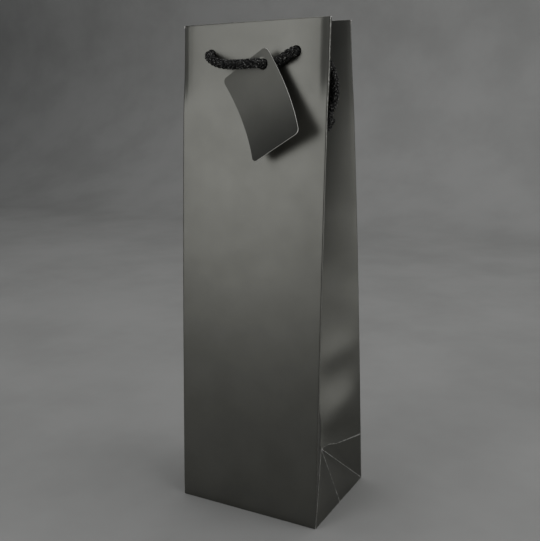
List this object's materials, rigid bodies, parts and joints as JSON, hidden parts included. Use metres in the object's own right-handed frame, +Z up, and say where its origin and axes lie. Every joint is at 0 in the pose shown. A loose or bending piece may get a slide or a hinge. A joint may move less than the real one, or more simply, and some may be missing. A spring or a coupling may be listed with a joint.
{
  "type": "bottle gift bag",
  "caption": "Tall gusseted paper gift bag for one bottle, with a block bottom, braided cord handles and a hanging card tag.",
  "frame": {"origin": "centre of the base rectangle, on the surface the bag stands on", "axes": "+Z up, +X along the bag's width to the right seen from the front, -Y out of the front panel"},
  "size_m": [0.116, 0.088, 0.3591],
  "materials": {
    "outer_paper": "satin metallic laminate, dark pewter",
    "inner_paper": "uncoated white paper",
    "grey_board": "uncoated grey board",
    "cord_yarn": "black braided cotton cord",
    "tag_card": "satin metallic card with a pale cut edge"
  },
  "bodies": {
    "base": {"bottom_flap_front": "outer_paper", "bottom_flap_back": "outer_paper", "bottom_flap_left": "inner_paper", "bottom_flap_right": "inner_paper", "bottom_board": "grey_board", "left_base_triangle_front": "outer_paper", "left_base_triangle_back": "outer_paper", "right_base_triangle_front": "outer_paper", "right_base_triangle_back": "outer_paper"},
    "front_wall": {"front_panel": "outer_paper", "front_top_card": "grey_board", "front_hem": "outer_paper", "left_corner_triangle_front": "outer_paper", "right_corner_triangle_front": "outer_paper", "front_handle_cord": "cord_yarn"},
    "back_wall": {"back_panel": "outer_paper", "back_top_card": "grey_board", "back_hem": "outer_paper", "side_seam_flap": "inner_paper", "left_corner_triangle_back": "outer_paper", "right_corner_triangle_back": "outer_paper", "back_handle_cord": "cord_yarn"},
    "right_front_gusset": {"right_gusset_front": "outer_paper", "right_gusset_front_hem": "outer_paper", "front_tail_right": "cord_yarn", "front_knot_right": "cord_yarn"},
    "right_back_gusset": {"right_gusset_back": "outer_paper", "right_gusset_back_hem": "outer_paper", "back_tail_right": "cord_yarn", "back_knot_right": "cord_yarn"},
    "left_front_gusset": {"left_gusset_front": "outer_paper", "left_gusset_front_hem": "outer_paper", "front_tail_left": "cord_yarn", "front_knot_left": "cord_yarn"},
    "left_back_gusset": {"left_gusset_back": "outer_paper", "left_gusset_back_hem": "outer_paper", "back_tail_left": "cord_yarn", "back_knot_left": "cord_yarn"},
    "tag": {"gift_tag": "tag_card"}
  },
  "joints": [
    {"name": "mouth", "type": "hinge", "parent": "base", "child": "front_wall", "pos_m": [0, -0.044, 0], "axis": [1, 0, 0], "range_deg": [-1.2, 1.6], "deforming": ["front_handle_cord", "front_tail_left", "front_tail_right"]},
    {"name": "back_tilt", "type": "hinge", "parent": "base", "child": "back_wall", "pos_m": [0, 0.044, 0], "axis": [1, 0, 0], "range_deg": [-1.6, 1.2], "deforming": ["back_handle_cord", "back_tail_left", "back_tail_right"]},
    {"name": "right_front_fold", "type": "hinge", "parent": "front_wall", "child": "right_front_gusset", "pos_m": [0.058, -0.04131, -0.00019], "axis": [0, 0.0715, 0.9974], "range_deg": [-14.4, 10.8]},
    {"name": "left_front_fold", "type": "hinge", "parent": "front_wall", "child": "left_front_gusset", "pos_m": [-0.058, -0.04131, -0.00019], "axis": [0, 0.0715, 0.9974], "range_deg": [-10.8, 14.4]},
    {"name": "right_back_fold", "type": "hinge", "parent": "back_wall", "child": "right_back_gusset", "pos_m": [0.058, 0.04131, -0.00019], "axis": [0, -0.0715, 0.9974], "range_deg": [-10.8, 14.4]},
    {"name": "left_back_fold", "type": "hinge", "parent": "back_wall", "child": "left_back_gusset", "pos_m": [-0.058, 0.04131, -0.00019], "axis": [0, -0.0715, 0.9974], "range_deg": [-14.4, 10.8]},
    {"name": "tag_swing", "type": "hinge", "parent": "front_wall", "child": "tag", "pos_m": [0.0126, -0.02865, 0.33015], "axis": [-0.1837, -0.9758, 0.1182], "range_deg": [-22, 20]}
  ],
  "couplings": [
    {"joint": "back_tilt", "follows": "mouth", "ratio": -1},
    {"joint": "right_front_fold", "follows": "mouth", "ratio": -9},
    {"joint": "left_front_fold", "follows": "mouth", "ratio": 9},
    {"joint": "right_back_fold", "follows": "mouth", "ratio": 9},
    {"joint": "left_back_fold", "follows": "mouth", "ratio": -9}
  ]
}
